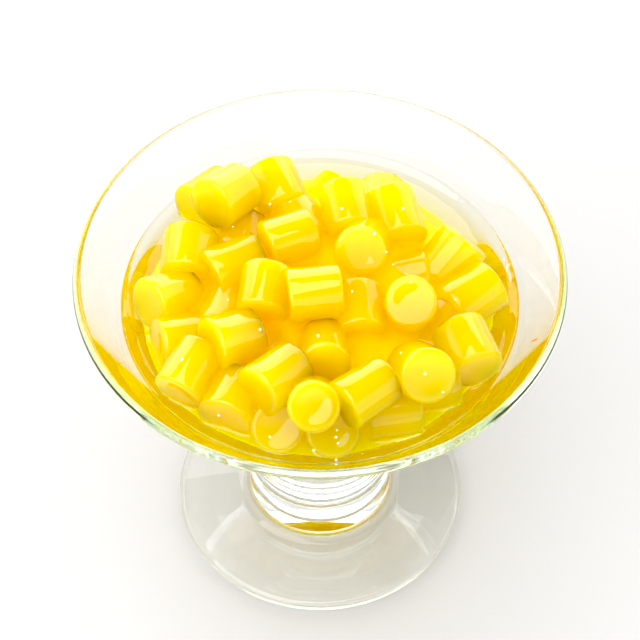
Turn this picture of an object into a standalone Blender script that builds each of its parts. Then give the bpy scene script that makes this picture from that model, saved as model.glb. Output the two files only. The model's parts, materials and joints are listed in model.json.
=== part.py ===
"""A footed glass dessert dish with syrup and a heap of small moulded jelly pieces, in metres, +Z up.

The dish stands on z = 0 with its axis on the Z axis, and the viewer's side is -Y.
"""

import math
import random

import bmesh
import bpy
from mathutils import Vector

# Dish
DISH_HEIGHT = 0.0944
RIM_RADIUS = 0.0575
WALL = 0.0024
WALL_SLOPE = math.radians(51.5)
FLOOR_BEND = 0.021
STEM_RADIUS = 0.0183
STEM_BEND = 0.007
FOOT_RADIUS = 0.0373
FOOT_EDGE = 0.0034
FOOT_RISE = 0.0016
FOOT_FILLET = 0.0036
PUNT_RADIUS = 0.0285
PUNT_DEPTH = 0.0012
PUNT_SHOULDER = (0.6, 0.8)
GROOVES = ((0.0139, 0.0006), (0.0205, 0.0006), (0.0252, 0.0003), (0.0278, 0.0003), (0.0304, 0.0003))
GROOVE_HALF = 0.0009
DISH_SIDES = 48

# Syrup
LEVEL = 0.0825
GAP = 0.0003

# Heap
HEAP_CENTRE = Vector((-0.0015, -0.0025, 0.0))
CORE_RADIUS = 0.0402
CORE_BOTTOM = 0.0430
CORE_TOP = 0.0925
CORE_STEPS = (0.97, 0.88, 0.72, 0.5, 0.25)
CORE_CURVE = 2.4
RECESS_OVER = 0.0012
CORE_SIDES = 32
PIECE_RADIUS = 0.0064
PIECE_LENGTH = 0.0126
PIECE_EDGE = 0.0011
PIECE_TAPER = 0.05
PIECE_SIDES = 14
UNEVEN_RADIUS = 0.05
UNEVEN_LENGTH = 0.08
SPACING = 0.0119
SETTLE_ROUNDS = 40
SETTLE_SHARE = 0.25
SEED = 7

# Modelling
SHARP_ANGLE = math.radians(35)
FLAT_ANGLE = math.radians(0.5)
WELD = 1e-6

# Each jelly piece that shows: x, y and z of its middle in mm, the heading of its axis and how far
# that end points up, both in degrees.
PIECES = (
    (-28, 29, 86, 50, -10),
    (-24, 24, 91, 50, -14),
    (-9, 27, 89, 110, 8),
    (-2, 20, 89, -60, 0),
    (3, 19, 91, -80, -5),
    (15, 28, 84, -95, 5),
    (18, 19, 90, -75, -5),
    (-7, 9, 93, 24, 0),
    (10, 8, 93, -100, 38),
    (20, 5, 84, 10, 10),
    (31, 9, 87, 40, 35),
    (-31, 8, 89, -95, -5),
    (-19, 15, 87, 80, 0),
    (-20, 5, 90, 30, 0),
    (-35, -3, 87, 38, -20),
    (-22, -7, 86, 75, 0),
    (-11, -7, 94, -100, -8),
    (-5, 1, 87, 20, 0),
    (0, -9, 95, 8, 0),
    (10, -10, 92, -85, 0),
    (19, -10, 91, -90, 60),
    (34, -4, 86, 38, 5),
    (29, -12, 86, 60, 10),
    (-31, -13, 85, 20, -10),
    (-21, -20, 90, 30, -15),
    (-11, -19, 85, 80, 0),
    (-11, -32, 90, 47, -8),
    (1, -22, 91, -88, 25),
    (12, -36, 89, 38, 0),
    (24, -29, 91, -70, 45),
    (33, -19, 85, -70, 0),
    (30, -32, 82, 15, 0),
    (15, -40, 82, 10, 0),
    (8, -35, 79, -70, 40),
    (2, -40, 80, -85, 50),
    (0, -38, 92, -90, 50),
    (-11, -40, 80, -95, 50),
    (-19, -34, 84, 70, 0),
    (-29, -29, 84, 63, 8),
)


def material(name, colour, roughness, transmission=0.0, ior=1.45):
    """A plain Principled material."""
    made = bpy.data.materials.new(name)
    made.use_nodes = True
    surface = made.node_tree.nodes["Principled BSDF"]
    surface.inputs["Base Color"].default_value = (*colour, 1.0)
    surface.inputs["Roughness"].default_value = roughness
    surface.inputs["Transmission Weight"].default_value = transmission
    surface.inputs["IOR"].default_value = ior
    made.diffuse_color = (*colour, 1.0)
    return made


def arc(centre, radius, start, end, steps):
    """Points (r, z) along an arc from one angle to another, in degrees."""
    points = []
    for step in range(steps + 1):
        angle = math.radians(start + (end - start) * step / steps)
        points.append((centre[0] + radius * math.cos(angle), centre[1] + radius * math.sin(angle)))
    return points


def lathe(name, profile, sides, paint, centre=Vector((0.0, 0.0, 0.0))):
    """A closed solid of revolution: the profile runs from the bottom of the axis to its top."""
    mesh = bmesh.new()
    points = [mesh.verts.new(centre + Vector((radius, 0.0, z))) for radius, z in profile]
    edges = [mesh.edges.new(pair) for pair in zip(points, points[1:])]
    bmesh.ops.spin(
        mesh,
        geom=points + edges,
        cent=centre,
        axis=(0.0, 0.0, 1.0),
        angle=math.tau,
        steps=sides,
        use_merge=True,
    )
    bmesh.ops.remove_doubles(mesh, verts=mesh.verts, dist=WELD)
    return finish(mesh, name, paint)


def finish(mesh, name, paint):
    """The bmesh as a named, smooth shaded object in the scene."""
    bmesh.ops.recalc_face_normals(mesh, faces=mesh.faces)
    data = bpy.data.meshes.new(name)
    mesh.to_mesh(data)
    mesh.free()
    made = bpy.data.objects.new(name, data)
    bpy.context.scene.collection.objects.link(made)
    data.materials.append(paint)
    data.shade_smooth()
    data.set_sharp_from_angle(angle=SHARP_ANGLE)
    return made


def on_wall(z, clear=0.0):
    """The inner radius of the conical wall at this height, less a clearance square to the wall."""
    rim_z = DISH_HEIGHT - WALL / 2
    across = RIM_RADIUS - WALL / 2 - (rim_z - z) / math.tan(WALL_SLOPE)
    return across - (WALL / 2 + clear) / math.sin(WALL_SLOPE)


def inner_profile(clear, top):
    """The inside of the bowl from the axis up to a height, this far clear of the glass."""
    slope = math.degrees(WALL_SLOPE)
    bend = FLOOR_BEND - clear
    centre_z = floor_height() + FLOOR_BEND
    return arc((0.0, centre_z), bend, -90, -90 + slope, 5) + [(on_wall(top, clear), top)]


def floor_height():
    """Where the rounded inside of the bowl is lowest: its arc runs smoothly into the cone."""
    meets = FLOOR_BEND * math.sin(WALL_SLOPE)
    z = LEVEL - (on_wall(LEVEL) - meets) * math.tan(WALL_SLOPE)
    return z - FLOOR_BEND * (1 - math.cos(WALL_SLOPE))


def dish_profile():
    """Once round the section of the dish, from under the foot over the rim to the bowl's floor."""
    edge = FOOT_EDGE / 2
    slope = math.degrees(WALL_SLOPE)
    foot_top = FOOT_EDGE + FOOT_RISE
    shoulder = (PUNT_RADIUS * PUNT_SHOULDER[0], PUNT_DEPTH * PUNT_SHOULDER[1])
    points = [(0.0, PUNT_DEPTH), shoulder, (PUNT_RADIUS, 0.0)]
    points += arc((FOOT_RADIUS - edge, edge), edge, -90, 90, 6)
    corner = STEM_RADIUS + FOOT_FILLET
    points += arc((corner, foot_top + FOOT_FILLET), FOOT_FILLET, -90, -180, 4)
    for z, depth in GROOVES:
        points += [(STEM_RADIUS, z - GROOVE_HALF), (STEM_RADIUS - depth, z), (STEM_RADIUS, z + GROOVE_HALF)]
    outside = WALL / 2 / math.sin(WALL_SLOPE)
    rim = (RIM_RADIUS - WALL / 2, DISH_HEIGHT - WALL / 2)
    meets_z = rim[1] - (rim[0] + outside - STEM_RADIUS) * math.tan(WALL_SLOPE)
    run = STEM_BEND * math.tan((math.pi / 2 - WALL_SLOPE) / 2)
    points += arc((STEM_RADIUS + STEM_BEND, meets_z - run), STEM_BEND, 180, 90 + slope, 4)
    points += arc(rim, WALL / 2, slope - 90, slope + 90, 6)
    return points + inner_profile(0.0, LEVEL)[-2::-1]


def core_bottom(clear):
    """The sunk underside of the heap's core, from the axis up to the syrup's level."""
    spread = clear / math.sin(WALL_SLOPE)
    bottom_radius = CORE_RADIUS - (LEVEL - CORE_BOTTOM) / math.tan(WALL_SLOPE)
    low = CORE_BOTTOM - clear
    return [(0.0, low), (bottom_radius + clear / 2, low), (CORE_RADIUS + spread, LEVEL)]


def core_profile():
    """The core: its sunk sides follow the bowl's wall, and a low dome stands over the syrup."""
    points = core_bottom(0.0)
    for part in CORE_STEPS:
        height = (CORE_TOP - LEVEL) * (1 - part ** CORE_CURVE)
        points.append((CORE_RADIUS * part, LEVEL + height))
    return points + [(0.0, CORE_TOP)]


def recess_profile():
    """The room for the core in the syrup, run a little past the syrup's surface."""
    points = core_bottom(GAP)
    across = points[-1][0] + RECESS_OVER / math.tan(WALL_SLOPE)
    return points + [(across, LEVEL + RECESS_OVER), (0.0, LEVEL + RECESS_OVER)]


def support(piece, normal):
    """How far a piece reaches from its middle in a direction."""
    along = abs(piece["axis"].dot(normal))
    return piece["length"] / 2 * along + piece["radius"] * math.sqrt(max(0.0, 1 - along * along))


def placed():
    """The pieces of the table, made uneven in size and pushed apart until they clear each other."""
    draw = random.Random(SEED)
    pieces = []
    for x, y, z, heading, rise in PIECES:
        heading = math.radians(heading)
        rise = math.radians(rise)
        flat = math.cos(rise)
        pieces.append(
            {
                "at": Vector((x, y, z)) / 1000,
                "axis": Vector((flat * math.cos(heading), flat * math.sin(heading), math.sin(rise))),
                "radius": PIECE_RADIUS * (1 + draw.uniform(-UNEVEN_RADIUS, UNEVEN_RADIUS)),
                "length": PIECE_LENGTH * (1 + draw.uniform(-UNEVEN_LENGTH, UNEVEN_LENGTH)),
            }
        )
    for _ in range(SETTLE_ROUNDS):
        for index, one in enumerate(pieces):
            for other in pieces[index + 1:]:
                apart = other["at"] - one["at"]
                lack = SPACING - apart.length
                if lack > 0:
                    push = apart.normalized() * lack * SETTLE_SHARE
                    one["at"] -= push
                    other["at"] += push
        for piece in pieces:
            keep_off_wall(piece)
    return pieces


def keep_off_wall(piece):
    """Moves a piece in until it clears the glass."""
    at = piece["at"]
    outward = Vector((at.x, at.y, 0.0)).normalized()
    normal = outward * math.sin(WALL_SLOPE) - Vector((0.0, 0.0, math.cos(WALL_SLOPE)))
    room = (on_wall(at.z) - math.hypot(at.x, at.y)) * math.sin(WALL_SLOPE)
    lack = support(piece, normal) + GAP * 2 - room
    if lack > 0:
        piece["at"] = at - normal * lack


def jelly_piece(piece, paint):
    """One moulded piece: a short cylinder with rounded ends, cut level just above the syrup."""
    half = piece["length"] / 2
    radius = piece["radius"]
    narrow = radius * (1 - PIECE_TAPER)
    profile = [(0.0, -half), (radius - PIECE_EDGE, -half), (radius, PIECE_EDGE - half)]
    profile += [(narrow, half - PIECE_EDGE), (narrow - PIECE_EDGE, half), (0.0, half)]
    made = lathe("piece", profile, PIECE_SIDES, paint)
    turn = Vector((0.0, 0.0, 1.0)).rotation_difference(piece["axis"]).to_matrix().to_4x4()
    made.data.transform(turn)
    for point in made.data.vertices:
        point.co += piece["at"]
    mesh = bmesh.new()
    mesh.from_mesh(made.data)
    bmesh.ops.dissolve_limit(mesh, angle_limit=FLAT_ANGLE, verts=mesh.verts, edges=mesh.edges)
    cut = bmesh.ops.bisect_plane(
        mesh,
        geom=mesh.verts[:] + mesh.edges[:] + mesh.faces[:],
        plane_co=(0.0, 0.0, LEVEL + GAP),
        plane_no=(0.0, 0.0, 1.0),
        clear_inner=True,
    )
    edges = [item for item in cut["geom_cut"] if isinstance(item, bmesh.types.BMEdge)]
    bmesh.ops.holes_fill(mesh, edges=edges, sides=0)
    bmesh.ops.recalc_face_normals(mesh, faces=mesh.faces)
    mesh.to_mesh(made.data)
    mesh.free()
    return made


def boolean(target, operation, solver, other=None, collection=None):
    """A Boolean modifier with one object, or with all of a collection."""
    cut = target.modifiers.new(operation.lower(), "BOOLEAN")
    cut.operation = operation
    cut.solver = solver
    if collection:
        cut.operand_type = "COLLECTION"
        cut.collection = collection
    else:
        cut.object = other


def apply_modifiers(target):
    """Keeps what the modifiers give as the object's own mesh."""
    graph = bpy.context.evaluated_depsgraph_get()
    data = bpy.data.meshes.new_from_object(target.evaluated_get(graph))
    target.modifiers.clear()
    target.data = data


def keep_largest(target):
    """Drops loose scraps, and the shells of sealed hollows, which fills them."""
    mesh = bmesh.new()
    mesh.from_mesh(target.data)
    bmesh.ops.remove_doubles(mesh, verts=mesh.verts, dist=WELD)
    left = set(mesh.faces)
    shells = []
    while left:
        shell = set()
        front = [left.pop()]
        while front:
            face = front.pop()
            shell.add(face)
            for edge in face.edges:
                for beside in edge.link_faces:
                    if beside in left:
                        left.discard(beside)
                        front.append(beside)
        shells.append(shell)
    largest = max(shells, key=len)
    scraps = [face for shell in shells if shell is not largest for face in shell]
    bmesh.ops.delete(mesh, geom=scraps, context="FACES")
    mesh.to_mesh(target.data)
    mesh.free()


for old in list(bpy.data.objects):
    bpy.data.objects.remove(old)

glass = material("glass", (0.95, 0.97, 0.96), 0.02, 1.0, 1.5)
syrup_paint = material("syrup", (1.0, 0.68, 0.02), 0.03, 1.0, 1.38)
jelly_paint = material("jelly", (1.0, 0.82, 0.01), 0.08)

# The dish is one piece of pressed glass: bowl, solid ringed stem and foot.
lathe("dish", dish_profile(), DISH_SIDES, glass)

# The syrup fills the bowl up to its level, round the sunk part of the heap.
body = inner_profile(GAP, LEVEL) + [(0.0, LEVEL)]
syrup = lathe("syrup", body, DISH_SIDES, syrup_paint)
recess = lathe("recess", recess_profile(), CORE_SIDES, syrup_paint, HEAP_CENTRE)
recess.hide_render = True
recess.display_type = "WIRE"
boolean(syrup, "DIFFERENCE", "EXACT", other=recess)

# The heap is a core with the pieces that show fused on, kept inside the bowl.
heap = lathe("jelly_heap", core_profile(), CORE_SIDES, jelly_paint, HEAP_CENTRE)
shown = bpy.data.collections.new("shown_pieces")
for piece in placed():
    solid = jelly_piece(piece, jelly_paint)
    bpy.context.scene.collection.objects.unlink(solid)
    shown.objects.link(solid)
boolean(heap, "UNION", "MANIFOLD", collection=shown)
apply_modifiers(heap)
for solid in list(shown.objects):
    bpy.data.objects.remove(solid)
bpy.data.collections.remove(shown)
keep_largest(heap)
heap.data.shade_smooth()
heap.data.set_sharp_from_angle(angle=SHARP_ANGLE)
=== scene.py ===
import json
import math
import random

import bmesh
import bpy
from mathutils import Matrix, Vector, noise

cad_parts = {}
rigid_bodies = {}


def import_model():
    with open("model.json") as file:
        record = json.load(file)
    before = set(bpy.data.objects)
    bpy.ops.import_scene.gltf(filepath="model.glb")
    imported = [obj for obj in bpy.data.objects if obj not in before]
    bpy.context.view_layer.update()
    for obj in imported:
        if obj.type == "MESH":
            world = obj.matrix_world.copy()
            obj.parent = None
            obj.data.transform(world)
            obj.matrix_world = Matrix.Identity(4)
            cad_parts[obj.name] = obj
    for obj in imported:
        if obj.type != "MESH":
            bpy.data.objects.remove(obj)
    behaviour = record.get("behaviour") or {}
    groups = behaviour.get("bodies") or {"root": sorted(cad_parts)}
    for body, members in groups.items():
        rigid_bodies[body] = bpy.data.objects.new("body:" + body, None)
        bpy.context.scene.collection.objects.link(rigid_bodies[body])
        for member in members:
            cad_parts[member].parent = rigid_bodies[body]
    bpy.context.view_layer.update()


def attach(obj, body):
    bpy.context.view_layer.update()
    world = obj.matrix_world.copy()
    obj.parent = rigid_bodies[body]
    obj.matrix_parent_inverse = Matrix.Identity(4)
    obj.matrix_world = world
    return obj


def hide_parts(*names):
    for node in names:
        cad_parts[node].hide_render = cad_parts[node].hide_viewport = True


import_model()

# Dish
# The bowl, its short solid stem and its flat foot are one piece of clear pressed glass, faintly
# green where one looks along it. The rim is melted round, the stem carries turned rings, and the
# foot is hollowed a little under its middle.
DISH_HEIGHT = 0.0944
RIM_RADIUS = 0.0575
WALL = 0.0024
WALL_SLOPE = math.radians(51.5)
FLOOR_BEND = 0.021
LEVEL = 0.0825
STEM_RADIUS = 0.0183
STEM_BEND = 0.007
FOOT_RADIUS = 0.0373
FOOT_EDGE = 0.0034
FOOT_RISE = 0.0016
FOOT_FILLET = 0.0036
PUNT_RADIUS = 0.0285
PUNT_DEPTH = 0.0012
GROOVES = ((0.0139, 0.0006), (0.0205, 0.0006), (0.0252, 0.0003), (0.0278, 0.0003), (0.0304, 0.0003))
GROOVE_HALF = 0.0009
GROOVE_STEPS = 8
PUNT_STEPS = 8
EDGE_STEPS = 14
BEND_STEPS = 10
RIM_STEPS = 12
FLOOR_STEPS = 16
DISH_SIDES = 160
GLASS_IOR = 1.5
SYRUP_IOR = 1.45
CREEP = 0.0009
GLASS_TINT = (0.74, 0.86, 0.76, 1.0)
GLASS_DENSITY = 8.0
LAMP_SHARE = (0.97, 0.95, 0.885, 1.0)
EDGE_SHARE = (0.16, 0.15, 0.10, 1.0)
EDGE_BLEND = 0.2
GLASS_WAVES = 45.0
GLASS_WAVE_DEPTH = 0.00003
SHARP_ANGLE = math.radians(40)
WELD = 1e-6
NEAR = 0.0001


def arc(centre, radius, start, end, steps):
    """Points (r, z) along an arc from one angle to another, in degrees."""
    points = []
    for step in range(steps + 1):
        angle = math.radians(start + (end - start) * step / steps)
        points.append((centre[0] + radius * math.cos(angle), centre[1] + radius * math.sin(angle)))
    return points


def spun(profile, sides):
    """A bmesh of the profile turned once round the Z axis, with its seam and poles closed."""
    mesh = bmesh.new()
    points = [mesh.verts.new((radius, 0.0, z)) for radius, z in profile]
    edges = [mesh.edges.new(pair) for pair in zip(points, points[1:])]
    bmesh.ops.spin(
        mesh,
        geom=points + edges,
        cent=(0.0, 0.0, 0.0),
        axis=(0.0, 0.0, 1.0),
        angle=math.tau,
        steps=sides,
        use_merge=True,
    )
    bmesh.ops.remove_doubles(mesh, verts=mesh.verts, dist=WELD)
    bmesh.ops.recalc_face_normals(mesh, faces=mesh.faces)
    return mesh


def shown_as(mesh, name, paint):
    """The bmesh as a smooth shaded object that rides on the dish."""
    data = bpy.data.meshes.new(name)
    mesh.to_mesh(data)
    mesh.free()
    made = bpy.data.objects.new(name, data)
    bpy.context.scene.collection.objects.link(made)
    data.materials.append(paint)
    data.shade_smooth()
    data.set_sharp_from_angle(angle=SHARP_ANGLE)
    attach(made, "root")
    return made


def on_wall(z, clear=0.0):
    """The inner radius of the conical wall at this height, less a clearance square to the wall."""
    rim_z = DISH_HEIGHT - WALL / 2
    across = RIM_RADIUS - WALL / 2 - (rim_z - z) / math.tan(WALL_SLOPE)
    return across - (WALL / 2 + clear) / math.sin(WALL_SLOPE)


def floor_height():
    """Where the rounded inside of the bowl is lowest: its arc runs smoothly into the cone."""
    meets = FLOOR_BEND * math.sin(WALL_SLOPE)
    z = LEVEL - (on_wall(LEVEL) - meets) * math.tan(WALL_SLOPE)
    return z - FLOOR_BEND * (1 - math.cos(WALL_SLOPE))


def inner_profile(clear, top):
    """The inside of the bowl from the axis up to a height, this far clear of the glass."""
    slope = math.degrees(WALL_SLOPE)
    centre = (0.0, floor_height() + FLOOR_BEND)
    return arc(centre, FLOOR_BEND - clear, -90, -90 + slope, FLOOR_STEPS) + [(on_wall(top, clear), top)]


def groove(z, depth):
    """One turned ring in the stem, as a shallow wave in its side."""
    points = []
    for step in range(GROOVE_STEPS + 1):
        along = 2 * step / GROOVE_STEPS - 1
        dip = depth * (1 + math.cos(math.pi * along)) / 2
        points.append((STEM_RADIUS - dip, z + GROOVE_HALF * along))
    return points


def dish_profile():
    """Once round the section of the dish, from under the foot over the rim to the bowl's floor."""
    edge = FOOT_EDGE / 2
    slope = math.degrees(WALL_SLOPE)
    foot_top = FOOT_EDGE + FOOT_RISE
    points = []
    for step in range(PUNT_STEPS + 1):
        out = step / PUNT_STEPS
        points.append((PUNT_RADIUS * out, PUNT_DEPTH * math.cos(math.pi / 2 * out)))
    points += arc((FOOT_RADIUS - edge, edge), edge, -90, 90, EDGE_STEPS)
    corner = STEM_RADIUS + FOOT_FILLET
    points += arc((corner, foot_top + FOOT_FILLET), FOOT_FILLET, -90, -180, BEND_STEPS)
    for z, depth in GROOVES:
        points += groove(z, depth)
    outside = WALL / 2 / math.sin(WALL_SLOPE)
    rim = (RIM_RADIUS - WALL / 2, DISH_HEIGHT - WALL / 2)
    meets_z = rim[1] - (rim[0] + outside - STEM_RADIUS) * math.tan(WALL_SLOPE)
    run = STEM_BEND * math.tan((math.pi / 2 - WALL_SLOPE) / 2)
    bend = (STEM_RADIUS + STEM_BEND, meets_z - run)
    points += arc(bend, STEM_BEND, 180, 90 + slope, BEND_STEPS)
    points += arc(rim, WALL / 2, slope - 90, slope + 90, RIM_STEPS)
    return points + inner_profile(0.0, LEVEL + CREEP)[::-1]


def add(tree, kind, **inputs):
    """A shader node with the values of its named inputs set; spaces in names are underscores."""
    made = tree.nodes.new("ShaderNode" + kind)
    for key, value in inputs.items():
        made.inputs[key.replace("_", " ")].default_value = value
    return made


def make_unevenness():
    """Shared effect: the faint waviness of a poured or pressed surface, as a bent normal."""
    tree = bpy.data.node_groups.new("unevenness", "ShaderNodeTree")
    for label, value in (("Waves per Metre", 100.0), ("Depth", 0.0001)):
        socket = tree.interface.new_socket(label, in_out="INPUT", socket_type="NodeSocketFloat")
        socket.default_value = value
    tree.interface.new_socket("Normal", in_out="OUTPUT", socket_type="NodeSocketVector")
    given = tree.nodes.new("NodeGroupInput")
    out = tree.nodes.new("NodeGroupOutput")
    place = add(tree, "TexCoord")
    waves = add(tree, "TexNoise", Detail=2.0, Roughness=0.45)
    bump = add(tree, "Bump", Strength=1.0)
    tree.links.new(place.outputs["Object"], waves.inputs["Vector"])
    tree.links.new(given.outputs["Waves per Metre"], waves.inputs["Scale"])
    tree.links.new(waves.outputs["Fac"], bump.inputs["Height"])
    tree.links.new(given.outputs["Depth"], bump.inputs["Distance"])
    tree.links.new(bump.outputs["Normal"], out.inputs["Normal"])
    return tree


unevenness = make_unevenness()


def uneven(tree, surface, waves, depth):
    """Puts the shared unevenness on a material's surface."""
    group = tree.nodes.new("ShaderNodeGroup")
    group.node_tree = unevenness
    group.inputs["Waves per Metre"].default_value = waves
    group.inputs["Depth"].default_value = depth
    tree.links.new(group.outputs["Normal"], surface.inputs["Normal"])


def new_paint(name):
    """A material, its node tree and its Principled shader."""
    made = bpy.data.materials.new(name)
    made.use_nodes = True
    return made, made.node_tree, made.node_tree.nodes["Principled BSDF"]


def absorbing(tree, colour, density):
    """Takes light off along its way through the solid."""
    inside = add(tree, "VolumeAbsorption", Color=colour, Density=density)
    tree.links.new(inside.outputs["Volume"], tree.nodes["Material Output"].inputs["Volume"])


def lamps_pass(tree, surface, tint):
    """Lets lamplight pass the surface, less of it where it grazes it, to what lies behind."""
    ray = add(tree, "LightPath")
    clear = add(tree, "BsdfTransparent")
    facing = add(tree, "LayerWeight", Blend=EDGE_BLEND)
    share = add(tree, "Mix")
    share.data_type = "RGBA"
    share.inputs["A"].default_value = tint
    share.inputs["B"].default_value = EDGE_SHARE
    tree.links.new(facing.outputs["Facing"], share.inputs["Factor"])
    tree.links.new(share.outputs["Result"], clear.inputs["Color"])
    either = add(tree, "MixShader")
    tree.links.new(ray.outputs["Is Shadow Ray"], either.inputs["Fac"])
    tree.links.new(surface.outputs["BSDF"], either.inputs[1])
    tree.links.new(clear.outputs["BSDF"], either.inputs[2])
    tree.links.new(either.outputs["Shader"], tree.nodes["Material Output"].inputs["Surface"])


def bending(tree, surface, free, touched):
    """How much light bends: less where the wet attribute says that glass and syrup touch."""
    wet = add(tree, "Attribute")
    wet.attribute_name = "wet"
    bends = add(tree, "MapRange", To_Min=free, To_Max=touched)
    tree.links.new(wet.outputs["Fac"], bends.inputs["Value"])
    tree.links.new(bends.outputs["Result"], surface.inputs["IOR"])


def make_glass():
    made, tree, surface = new_paint("clear_glass")
    surface.inputs["Base Color"].default_value = (1.0, 1.0, 1.0, 1.0)
    surface.inputs["Roughness"].default_value = 0.0
    surface.inputs["IOR"].default_value = GLASS_IOR
    bending(tree, surface, GLASS_IOR, GLASS_IOR / SYRUP_IOR)
    surface.inputs["Transmission Weight"].default_value = 1.0
    uneven(tree, surface, GLASS_WAVES, GLASS_WAVE_DEPTH)
    absorbing(tree, GLASS_TINT, GLASS_DENSITY)
    lamps_pass(tree, surface, LAMP_SHARE)
    return made


def wetted(mesh):
    """Marks the glass that the syrup touches."""
    layer = mesh.faces.layers.float.new("wet")
    for face in mesh.faces:
        middle = face.calc_center_median()
        across = math.hypot(middle.x, middle.y)
        inside = across < on_wall(middle.z) + NEAR
        if inside and floor_height() - WELD < middle.z < LEVEL + CREEP:
            face[layer] = 1.0


dish_mesh = spun(dish_profile(), DISH_SIDES)
wetted(dish_mesh)
dish = shown_as(dish_mesh, "glass_dish", make_glass())
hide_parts("dish")

# Jelly pieces
# Each piece is a short cylinder of firm clear jelly, set in a round mould: a little narrower at
# one end, its edges soft, and its ends dished with a raised ring. They lie heaped as they fell.
PIECE_RADIUS = 0.0064
PIECE_LENGTH = 0.0126
PIECE_EDGE = 0.0008
PIECE_TAPER = 0.05
PIECE_SIDES = 40
UNEVEN_RADIUS = 0.05
UNEVEN_LENGTH = 0.08
SPACING = 0.0119
SETTLE_ROUNDS = 40
SETTLE_SHARE = 0.25
SEED = 7
GAP = 0.0003
END_DISH = 0.00035
END_STEPS = ((0.0, 1.0), (0.3, 0.9), (0.55, 0.6), (0.72, 0.15), (0.86, 0.0))
END_ARC_STEPS = 6
SIDE_STEPS = 5
BULGE = 0.00022
BULGE_WAVES = 130.0
BULGE_AWAY = (1.7, 0.9, 2.3)
JELLY_DEEP = (1.0, 0.57, 0.0, 1.0)
JELLY_PALE = (1.0, 0.65, 0.0, 1.0)
JELLY_REACH = (1.0, 1.0, 0.05)
JELLY_SCALE = 0.04
JELLY_CLOUDS = 75.0
JELLY_WAVES = 260.0
JELLY_WAVE_DEPTH = 0.00008

# Each jelly piece that shows: x, y and z of its middle in mm, the heading of its axis and how far
# that end points up, both in degrees.
PIECES = (
    (-28, 29, 86, 50, -10),
    (-24, 24, 91, 50, -14),
    (-9, 27, 89, 110, 8),
    (-2, 20, 89, -60, 0),
    (3, 19, 91, -80, -5),
    (15, 28, 84, -95, 5),
    (18, 19, 90, -75, -5),
    (-7, 9, 93, 24, 0),
    (10, 8, 93, -100, 38),
    (20, 5, 84, 10, 10),
    (31, 9, 87, 40, 35),
    (-31, 8, 89, -95, -5),
    (-19, 15, 87, 80, 0),
    (-20, 5, 90, 30, 0),
    (-35, -3, 87, 38, -20),
    (-22, -7, 86, 75, 0),
    (-11, -7, 94, -100, -8),
    (-5, 1, 87, 20, 0),
    (0, -9, 95, 8, 0),
    (10, -10, 92, -85, 0),
    (19, -10, 91, -90, 60),
    (34, -4, 86, 38, 5),
    (29, -12, 86, 60, 10),
    (-31, -13, 85, 20, -10),
    (-21, -20, 90, 30, -15),
    (-11, -19, 85, 80, 0),
    (-11, -32, 90, 47, -8),
    (1, -22, 91, -88, 25),
    (12, -36, 89, 38, 0),
    (24, -29, 91, -70, 45),
    (33, -19, 85, -70, 0),
    (30, -32, 82, 15, 0),
    (15, -40, 82, 10, 0),
    (8, -35, 79, -70, 40),
    (2, -40, 80, -85, 50),
    (0, -38, 92, -90, 50),
    (-11, -40, 80, -95, 50),
    (-19, -34, 84, 70, 0),
    (-29, -29, 84, 63, 8),
)


def support(piece, normal):
    """How far a piece reaches from its middle in a direction."""
    along = abs(piece["axis"].dot(normal))
    return piece["length"] / 2 * along + piece["radius"] * math.sqrt(max(0.0, 1 - along * along))


def keep_off_wall(piece):
    """Moves a piece in until it clears the glass."""
    at = piece["at"]
    outward = Vector((at.x, at.y, 0.0)).normalized()
    normal = outward * math.sin(WALL_SLOPE) - Vector((0.0, 0.0, math.cos(WALL_SLOPE)))
    room = (on_wall(at.z) - math.hypot(at.x, at.y)) * math.sin(WALL_SLOPE)
    lack = support(piece, normal) + GAP * 2 - room
    if lack > 0:
        piece["at"] = at - normal * lack


def push_apart(one, other, share_one, share_other):
    """Moves two pieces that are too close a little away from each other."""
    apart = other["at"] - one["at"]
    lack = SPACING - apart.length
    if lack > 0:
        push = apart.normalized() * lack
        one["at"] -= push * share_one
        other["at"] += push * share_other


def new_piece(draw, at, heading, rise):
    """A piece at a place, its axis turned to a heading and raised, its size a little uneven."""
    flat = math.cos(rise)
    return {
        "at": at,
        "axis": Vector((flat * math.cos(heading), flat * math.sin(heading), math.sin(rise))),
        "radius": PIECE_RADIUS * (1 + draw.uniform(-UNEVEN_RADIUS, UNEVEN_RADIUS)),
        "length": PIECE_LENGTH * (1 + draw.uniform(-UNEVEN_LENGTH, UNEVEN_LENGTH)),
    }


def placed():
    """The pieces of the table, made uneven in size and pushed apart until they clear each other."""
    draw = random.Random(SEED)
    pieces = []
    for x, y, z, heading, rise in PIECES:
        at = Vector((x, y, z)) / 1000
        pieces.append(new_piece(draw, at, math.radians(heading), math.radians(rise)))
    for _ in range(SETTLE_ROUNDS):
        for index, one in enumerate(pieces):
            for other in pieces[index + 1:]:
                push_apart(one, other, SETTLE_SHARE, SETTLE_SHARE)
        for piece in pieces:
            keep_off_wall(piece)
    return pieces


def piece_profile(piece):
    """The section of one piece from the middle of one end to the middle of the other."""
    half = piece["length"] / 2
    radius = piece["radius"]
    points = []
    for end, wide in ((-1, radius), (1, radius * (1 - PIECE_TAPER))):
        flat = wide - PIECE_EDGE
        cap = [(flat * out, half - END_DISH * deep) for out, deep in END_STEPS]
        cap += arc((flat, half - PIECE_EDGE), PIECE_EDGE, 90, 0, END_ARC_STEPS)
        cap = [(across, end * up) for across, up in cap]
        points += cap if end < 0 else cap[::-1]
    middle = len(points) // 2
    start, finish = points[middle - 1], points[middle]
    side = []
    for step in range(1, SIDE_STEPS):
        part = step / SIDE_STEPS
        across = start[0] + (finish[0] - start[0]) * part
        along = start[1] + (finish[1] - start[1]) * part
        side.append((across, along))
    return points[:middle] + side + points[middle:]


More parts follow.
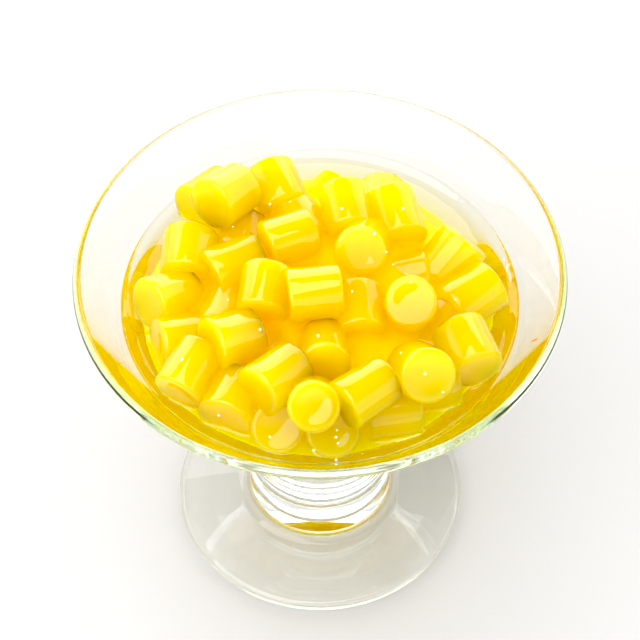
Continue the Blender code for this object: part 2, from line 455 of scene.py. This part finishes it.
def piece_mesh(piece, sides, index):
    """One piece in its place, its surface pushed in and out a little as soft jelly is."""
    mesh = spun(piece_profile(piece), sides)
    mesh.normal_update()
    away = Vector([index * step for step in BULGE_AWAY])
    for point in mesh.verts:
        point.co += point.normal * BULGE * noise.noise(point.co * BULGE_WAVES + away)
    turn = Vector((0.0, 0.0, 1.0)).rotation_difference(piece["axis"]).to_matrix().to_4x4()
    bmesh.ops.transform(mesh, matrix=Matrix.Translation(piece["at"]) @ turn, verts=mesh.verts)
    return mesh


def make_jelly():
    """Yellow jelly: light wanders far inside it, except for the blue, and its skin is wet."""
    made, tree, surface = new_paint("yellow_jelly")
    surface.inputs["Roughness"].default_value = 0.15
    surface.inputs["IOR"].default_value = 1.38
    surface.inputs["Specular IOR Level"].default_value = 0.1
    surface.inputs["Subsurface Weight"].default_value = 1.0
    surface.inputs["Subsurface Radius"].default_value = JELLY_REACH
    surface.inputs["Subsurface Scale"].default_value = JELLY_SCALE
    place = add(tree, "TexCoord")
    cloud = add(tree, "TexNoise", Scale=JELLY_CLOUDS, Detail=4.0)
    ramp = add(tree, "ValToRGB")
    ramp.color_ramp.elements[0].position = 0.3
    ramp.color_ramp.elements[0].color = JELLY_DEEP
    ramp.color_ramp.elements[1].position = 0.7
    ramp.color_ramp.elements[1].color = JELLY_PALE
    tree.links.new(place.outputs["Object"], cloud.inputs["Vector"])
    tree.links.new(cloud.outputs["Fac"], ramp.inputs["Fac"])
    tree.links.new(ramp.outputs["Color"], surface.inputs["Base Color"])
    uneven(tree, surface, JELLY_WAVES, JELLY_WAVE_DEPTH)
    return made


jelly = make_jelly()
pieces = placed()

# Sunk jelly
# More of the same pieces fill the bowl under the syrup. Those along the glass show from the sides
# and from below; the middle of the heap, which nobody sees, is one plain body of the same jelly.
SUNK_LAYERS = ((0.0455, 1), (0.0555, 1), (0.0655, 1), (0.0755, 2))
SUNK_SEED = 11
SUNK_ROUNDS = 30
SUNK_OFF_WALL = 0.66
SUNK_TILT = 0.8


def sunk_pieces(fixed):
    """Rings of pieces along the glass, pushed apart from each other and from those that show."""
    draw = random.Random(SUNK_SEED)
    made = []
    for height, rings in SUNK_LAYERS:
        for ring in range(rings):
            reach = on_wall(height) - PIECE_LENGTH * SUNK_OFF_WALL - ring * SPACING
            count = max(1, int(math.tau * reach / SPACING))
            turn = draw.uniform(0, math.tau)
            for index in range(count):
                angle = turn + math.tau * index / count
                rise = math.asin(draw.uniform(-SUNK_TILT, SUNK_TILT))
                heading = draw.uniform(0, math.tau)
                at = Vector((reach * math.cos(angle), reach * math.sin(angle), height))
                made.append(new_piece(draw, at, heading, rise))
    for _ in range(SUNK_ROUNDS):
        for index, one in enumerate(made):
            for other in made[index + 1:]:
                push_apart(one, other, SETTLE_SHARE, SETTLE_SHARE)
            for other in fixed:
                push_apart(one, other, SETTLE_SHARE * 2, 0.0)
        for piece in made:
            keep_off_wall(piece)
            low = floor_height() + piece["radius"]
            piece["at"].z = max(piece["at"].z, low)
    return made


sunk = sunk_pieces(pieces)

# Heap
# The pieces stick together where they touch: soft jelly fills the corners between them, and the
# middle of the heap, which nobody sees, is one body of the same jelly. The skin of each piece is
# clear, so the yellow body begins a little under it.
HEAP_CENTRE = Vector((-0.0005, -0.0025, 0.0))
SUNK_RADIUS = 0.0416
SUNK_TOP = LEVEL - 0.0015
CORE_RADIUS = 0.0375
CORE_BOTTOM = 0.0450
CORE_TOP = 0.0920
CORE_STEPS = (0.97, 0.88, 0.72, 0.5, 0.25)
CORE_CURVE = 2.4
CORE_SIDES = 64
CORNER_INSET = 0.0003
CORNER_GRAIN = 0.0006
CORNER_ROUNDS = 24
SMOOTH_SHARE = 0.5
SLIM_SIDES = 20
CLOUD_INSET = 0.0003


def helper(mesh, name):
    """The bmesh as an object that modifiers can work on."""
    data = bpy.data.meshes.new(name)
    mesh.to_mesh(data)
    mesh.free()
    made = bpy.data.objects.new(name, data)
    bpy.context.scene.collection.objects.link(made)
    return made


def drop_flaps(mesh):
    """Welds corners that coincide and drops the flat flaps that a union leaves there."""
    bmesh.ops.remove_doubles(mesh, verts=mesh.verts, dist=WELD)
    bmesh.ops.triangulate(mesh, faces=mesh.faces)
    seen = {}
    for face in mesh.faces:
        seen.setdefault(frozenset(face.verts), []).append(face)
    flaps = [face for same in seen.values() if len(same) > 1 for face in same]
    flaps += [face for face in mesh.faces if any(edge.is_boundary for edge in face.edges)]
    bmesh.ops.delete(mesh, geom=list(set(flaps)), context="FACES")


def worked(target):
    """What the helper's modifiers give, as a bmesh; the helper itself goes."""
    graph = bpy.context.evaluated_depsgraph_get()
    data = bpy.data.meshes.new_from_object(target.evaluated_get(graph))
    mesh = bmesh.new()
    mesh.from_mesh(data)
    bpy.data.meshes.remove(data)
    bpy.data.objects.remove(target)
    drop_flaps(mesh)
    return mesh


def core_profile():
    """The middle of the heap: its sunk sides follow the bowl's wall under a low dome."""
    bottom_radius = SUNK_RADIUS - (SUNK_TOP - CORE_BOTTOM) / math.tan(WALL_SLOPE)
    points = [(0.0, CORE_BOTTOM), (bottom_radius, CORE_BOTTOM), (SUNK_RADIUS, SUNK_TOP)]
    points.append((CORE_RADIUS, LEVEL))
    for part in CORE_STEPS:
        points.append((CORE_RADIUS * part, LEVEL + (CORE_TOP - LEVEL) * (1 - part ** CORE_CURVE)))
    return points + [(0.0, CORE_TOP)]


def slimmer(parts, inset):
    """The same pieces, this much smaller all round."""
    return [
        dict(piece, radius=piece["radius"] - inset, length=piece["length"] - 2 * inset)
        for piece in parts
    ]


def put_in(target, mesh):
    """Adds one bmesh to another; the one added goes."""
    data = bpy.data.meshes.new("added")
    mesh.to_mesh(data)
    mesh.free()
    target.from_mesh(data)
    bpy.data.meshes.remove(data)


def run_together(extra, inset, rounds):
    """A body run together with slimmer pieces, then smoothed: it fills the corners between them."""
    joined = bmesh.new()
    for index, piece in enumerate(slimmer(pieces, inset)):
        put_in(joined, piece_mesh(piece, SLIM_SIDES, index))
    put_in(joined, extra)
    body = helper(joined, "body")
    grains = body.modifiers.new("grains", "REMESH")
    grains.mode = "VOXEL"
    grains.voxel_size = CORNER_GRAIN
    smooth = body.modifiers.new("smooth", "SMOOTH")
    smooth.factor = SMOOTH_SHARE
    smooth.iterations = rounds
    return worked(body)


def fused(body, parts, sides):
    """The body with all the pieces in one skin."""
    operands = bpy.data.collections.new("operands")
    for index, piece in enumerate(parts):
        one = helper(piece_mesh(piece, sides, index), "one")
        bpy.context.scene.collection.objects.unlink(one)
        operands.objects.link(one)
    target = helper(body, "heap")
    union = target.modifiers.new("union", "BOOLEAN")
    union.operation = "UNION"
    union.solver = "MANIFOLD"
    union.operand_type = "COLLECTION"
    union.collection = operands
    done = worked(target)
    for one in list(operands.objects):
        bpy.data.objects.remove(one)
    bpy.data.collections.remove(operands)
    return done


core = spun(core_profile(), CORE_SIDES)
bmesh.ops.translate(core, verts=core.verts, vec=HEAP_CENTRE)
corners = run_together(core, CORNER_INSET + CLOUD_INSET, CORNER_ROUNDS)
heap_mesh = fused(corners, slimmer(pieces, CLOUD_INSET) + sunk, PIECE_SIDES)
heap = shown_as(heap_mesh, "jelly_pieces", jelly)
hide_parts("jelly_heap")

# Syrup
# Thin yellow syrup fills the bowl between the pieces, covers them with a clear wet skin and clings
# in the corners where they touch. Its surface creeps up the glass, and its body reaches just into
# the glass so that no air shows.
INTO_GLASS = -0.00015
PAST_GLASS = -0.0025
FILM_INSET = 0.0005
FILM_ROUNDS = 16
CREEP_REACH = 0.0009
SURFACE_SIDES = 200
SYRUP_TINT = (1.0, 0.945, 0.0, 1.0)
SYRUP_DENSITY = 100.0
SYRUP_WAVES = 120.0
SYRUP_WAVE_DEPTH = 0.00003


def creep_up_glass(mesh):
    """Raises the surface of the syrup next to the wall."""
    for point in mesh.verts:
        if abs(point.co.z - LEVEL) < CREEP:
            from_glass = on_wall(LEVEL) - math.hypot(point.co.x, point.co.y)
            point.co.z += CREEP * math.exp(-max(0.0, from_glass) / CREEP_REACH)


def kept_in_bowl(mesh):
    """The part of the shape that lies inside the bowl."""
    top = DISH_HEIGHT + PIECE_LENGTH
    inside = helper(spun(inner_profile(INTO_GLASS, top) + [(0.0, top)], SURFACE_SIDES), "inside")
    target = helper(mesh, "film")
    cut = target.modifiers.new("cut", "BOOLEAN")
    cut.operation = "INTERSECT"
    cut.solver = "MANIFOLD"
    cut.object = inside
    done = worked(target)
    bpy.data.objects.remove(inside)
    return done


def at_wall(mesh):
    """Marks the sides of the syrup that reach into the glass."""
    layer = mesh.faces.layers.float.new("wet")
    centre = Vector((0.0, 0.0, floor_height() + FLOOR_BEND))
    for face in mesh.faces:
        face[layer] = 1.0
        for point in face.verts:
            across = math.hypot(point.co.x, point.co.y)
            on_cone = abs(across - on_wall(point.co.z, INTO_GLASS)) < NEAR / 2
            on_floor = abs((point.co - centre).length - FLOOR_BEND + INTO_GLASS) < NEAR / 2
            if not (on_cone or (on_floor and point.co.z < centre.z)):
                face[layer] = 0.0


def make_syrup():
    made, tree, surface = new_paint("yellow_syrup")
    surface.inputs["Base Color"].default_value = (1.0, 1.0, 1.0, 1.0)
    surface.inputs["Roughness"].default_value = 0.0
    surface.inputs["IOR"].default_value = SYRUP_IOR
    bending(tree, surface, SYRUP_IOR, 1.0)
    surface.inputs["Transmission Weight"].default_value = 1.0
    uneven(tree, surface, SYRUP_WAVES, SYRUP_WAVE_DEPTH)
    absorbing(tree, SYRUP_TINT, SYRUP_DENSITY)
    return made


pool = spun(inner_profile(PAST_GLASS, LEVEL) + [(0.0, LEVEL)], SURFACE_SIDES)
wet = run_together(pool, FILM_INSET, FILM_ROUNDS)
wet = fused(wet, pieces, PIECE_SIDES)
creep_up_glass(wet)
syrup_mesh = kept_in_bowl(wet)
at_wall(syrup_mesh)
syrup = shown_as(syrup_mesh, "syrup_body", make_syrup())
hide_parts("syrup")

# Bubbles
# Little bubbles of air stay where they rose: in the corners between the pieces and under the skin
# of the syrup. The air in them throws the light back whole, so each one is a small bright bead.
BUBBLE_PIXELS = (
    (219, 415), (270, 437), (314, 450), (336, 460), (318, 336), (425, 374), (401, 353),
    (403, 209), (374, 234), (342, 209), (270, 204), (290, 202), (233, 227), (386, 252),
    (389, 258), (393, 265), (406, 274), (411, 282), (337, 430), (336, 437), (338, 443),
    (443, 392), (182, 360), (228, 300), (352, 292), (455, 300), (300, 262), (260, 330),
)
BUBBLE_RADIUS = 0.00034
BUBBLE_SIZES = (0.6, 1.15)
BUBBLE_OUT = 0.3
BUBBLE_SEED = 5
BUBBLE_WAVES = 900.0
BUBBLE_WAVE_DEPTH = 0.00001
IMAGE_SIDE = 640
CAMERA_AT = Vector((0.0, -0.3196, 0.4934))
CAMERA_DOWN = math.radians(52.65)
CAMERA_LENS = 123.75
SENSOR = 36.0


def ray_through(pixel):
    """The direction from the camera through a pixel of the image."""
    per_pixel = SENSOR / CAMERA_LENS / IMAGE_SIDE
    right = (pixel[0] - IMAGE_SIDE / 2) * per_pixel
    up = (IMAGE_SIDE / 2 - pixel[1]) * per_pixel
    aim = Vector((right, up, -1.0))
    return (Matrix.Rotation(math.pi / 2 - CAMERA_DOWN, 3, "X") @ aim).normalized()


def make_bubble():
    made, tree, surface = new_paint("air_bubble")
    surface.inputs["Base Color"].default_value = (1.0, 1.0, 1.0, 1.0)
    surface.inputs["Metallic"].default_value = 1.0
    surface.inputs["Roughness"].default_value = 0.05
    uneven(tree, surface, BUBBLE_WAVES, BUBBLE_WAVE_DEPTH)
    return made


def beads():
    """A bead where the ray through each pixel meets the wet heap."""
    draw = random.Random(BUBBLE_SEED)
    made = bmesh.new()
    for pixel in BUBBLE_PIXELS:
        found, at, normal, _ = syrup.ray_cast(CAMERA_AT, ray_through(pixel))
        if not found:
            continue
        radius = BUBBLE_RADIUS * draw.uniform(*BUBBLE_SIZES)
        place = Matrix.Translation(at + normal * radius * BUBBLE_OUT)
        bmesh.ops.create_icosphere(made, subdivisions=2, radius=radius, matrix=place)
    return made


bubbles = shown_as(beads(), "bubbles", make_bubble())

# Drip
# One small drop of darker syrup has dried on the inside of the glass, on the right above the
# level. It ran down the slope of the wall, so it is long and thin.
DRIP_TURN = math.radians(-19.6)
DRIP_HEIGHT = 0.0900
DRIP_HALF = (0.00030, 0.00125, 0.00018)
DRIP_COLOUR = (0.85, 0.19, 0.03, 1.0)
DRIP_WAVES = 1500.0
DRIP_WAVE_DEPTH = 0.00002


def make_drip():
    """Dried syrup, deeper in colour than the fresh syrup."""
    made, tree, surface = new_paint("dried_syrup")
    surface.inputs["Base Color"].default_value = DRIP_COLOUR
    surface.inputs["Roughness"].default_value = 0.2
    uneven(tree, surface, DRIP_WAVES, DRIP_WAVE_DEPTH)
    return made


def drop_on_wall():
    """A long thin drop that runs down the slope of the wall."""
    made = bmesh.new()
    bmesh.ops.create_uvsphere(made, u_segments=20, v_segments=12, radius=1.0)
    bmesh.ops.scale(made, verts=made.verts, vec=DRIP_HALF)
    lean = Matrix.Rotation(WALL_SLOPE, 4, "X")
    turn = Matrix.Rotation(DRIP_TURN - math.pi / 2, 4, "Z")
    reach = Matrix.Translation((0.0, on_wall(DRIP_HEIGHT), DRIP_HEIGHT))
    bmesh.ops.transform(made, matrix=turn @ reach @ lean, verts=made.verts)
    return made


drip = shown_as(drop_on_wall(), "drip", make_drip())

# Floor
# A sheet of smooth white paper lies under the dish. It is wide enough to fill the view from every
# side.
FLOOR_HALF = 1.2
PAPER_COLOUR = (0.42, 0.42, 0.418, 1.0)


def make_paper():
    made, tree, surface = new_paint("white_paper")
    surface.inputs["Roughness"].default_value = 0.7
    surface.inputs["Specular IOR Level"].default_value = 0.2
    surface.inputs["Base Color"].default_value = PAPER_COLOUR
    return made


paper_mesh = bmesh.new()
bmesh.ops.create_grid(paper_mesh, x_segments=1, y_segments=1, size=FLOOR_HALF)
paper = bpy.data.objects.new("floor", bpy.data.meshes.new("floor"))
paper_mesh.to_mesh(paper.data)
paper_mesh.free()
paper.data.materials.append(make_paper())
bpy.context.scene.collection.objects.link(paper)

# Light
# A large soft box hangs over the dish to the left, and a second lights the paper behind it; the
# room itself is pale, and darker high up.
ROOM_PALE = (2.05, 2.05, 2.05, 1.0)
ROOM_HIGH = (0.85, 0.85, 0.86, 1.0)
ROOM_RISE = (0.5, 0.8)
KEY_AT = (-0.32, -0.27, 0.99)
KEY_AIM = (0.0, 0.0, 0.08)
KEY_SIZE = (1.0, 1.5)
KEY_POWER = 14.5
BACK_AT = (-0.15, 1.0, 0.57)
BACK_AIM = (0.0, 0.0, 0.05)
BACK_SIZE = (1.8, 1.06)
BACK_POWER = 12.5


def lamp(name, at, aim, size, power):
    """A rectangular soft box."""
    data = bpy.data.lights.new(name, "AREA")
    data.shape = "RECTANGLE"
    data.size, data.size_y = size
    data.energy = power
    made = bpy.data.objects.new(name, data)
    made.location = at
    made.rotation_mode = "QUATERNION"
    made.rotation_quaternion = (Vector(aim) - Vector(at)).to_track_quat("-Z", "Y")
    bpy.context.scene.collection.objects.link(made)


lamp("key", KEY_AT, KEY_AIM, KEY_SIZE, KEY_POWER)
lamp("back", BACK_AT, BACK_AIM, BACK_SIZE, BACK_POWER)


def make_room():
    """The room round the dish: bright low down and dimmer above."""
    world = bpy.data.worlds.new("room")
    world.use_nodes = True
    tree = world.node_tree
    place = add(tree, "TexCoord")
    parts = add(tree, "SeparateXYZ")
    tree.links.new(place.outputs["Generated"], parts.inputs["Vector"])
    rise = add(tree, "MapRange", From_Min=ROOM_RISE[0], From_Max=ROOM_RISE[1])
    rise.interpolation_type = "SMOOTHSTEP"
    high = add(tree, "Mix")
    high.data_type = "RGBA"
    high.inputs["A"].default_value = ROOM_PALE
    high.inputs["B"].default_value = ROOM_HIGH
    tree.links.new(parts.outputs["Z"], rise.inputs["Value"])
    tree.links.new(rise.outputs["Result"], high.inputs["Factor"])
    tree.links.new(high.outputs["Result"], tree.nodes["Background"].inputs["Color"])
    bpy.context.scene.world = world


make_room()

# Camera
# A long lens looks down steeply at the dish from in front of it. The blue of the image is clipped
# a little, as that of the photo is.
BLUE_CLIP = 0.045
GLASS_BOUNCES = 40
camera_data = bpy.data.cameras.new("camera")
camera_data.lens = CAMERA_LENS
camera_data.sensor_width = SENSOR
camera = bpy.data.objects.new("camera", camera_data)
camera.location = CAMERA_AT
camera.rotation_euler = (math.pi / 2 - CAMERA_DOWN, 0.0, 0.0)
bpy.context.scene.collection.objects.link(camera)
bpy.context.scene.camera = camera

scene = bpy.context.scene
scene.view_settings.view_transform = "Standard"
scene.view_settings.use_curve_mapping = True
scene.view_settings.curve_mapping.black_level = (0.0, 0.0, BLUE_CLIP)
scene.cycles.use_denoising = True
scene.cycles.max_bounces = GLASS_BOUNCES
scene.cycles.transmission_bounces = GLASS_BOUNCES
scene.cycles.glossy_bounces = GLASS_BOUNCES
scene.cycles.diffuse_bounces = 16
scene.cycles.transparent_max_bounces = 24
scene.cycles.sample_clamp_indirect = 8.0
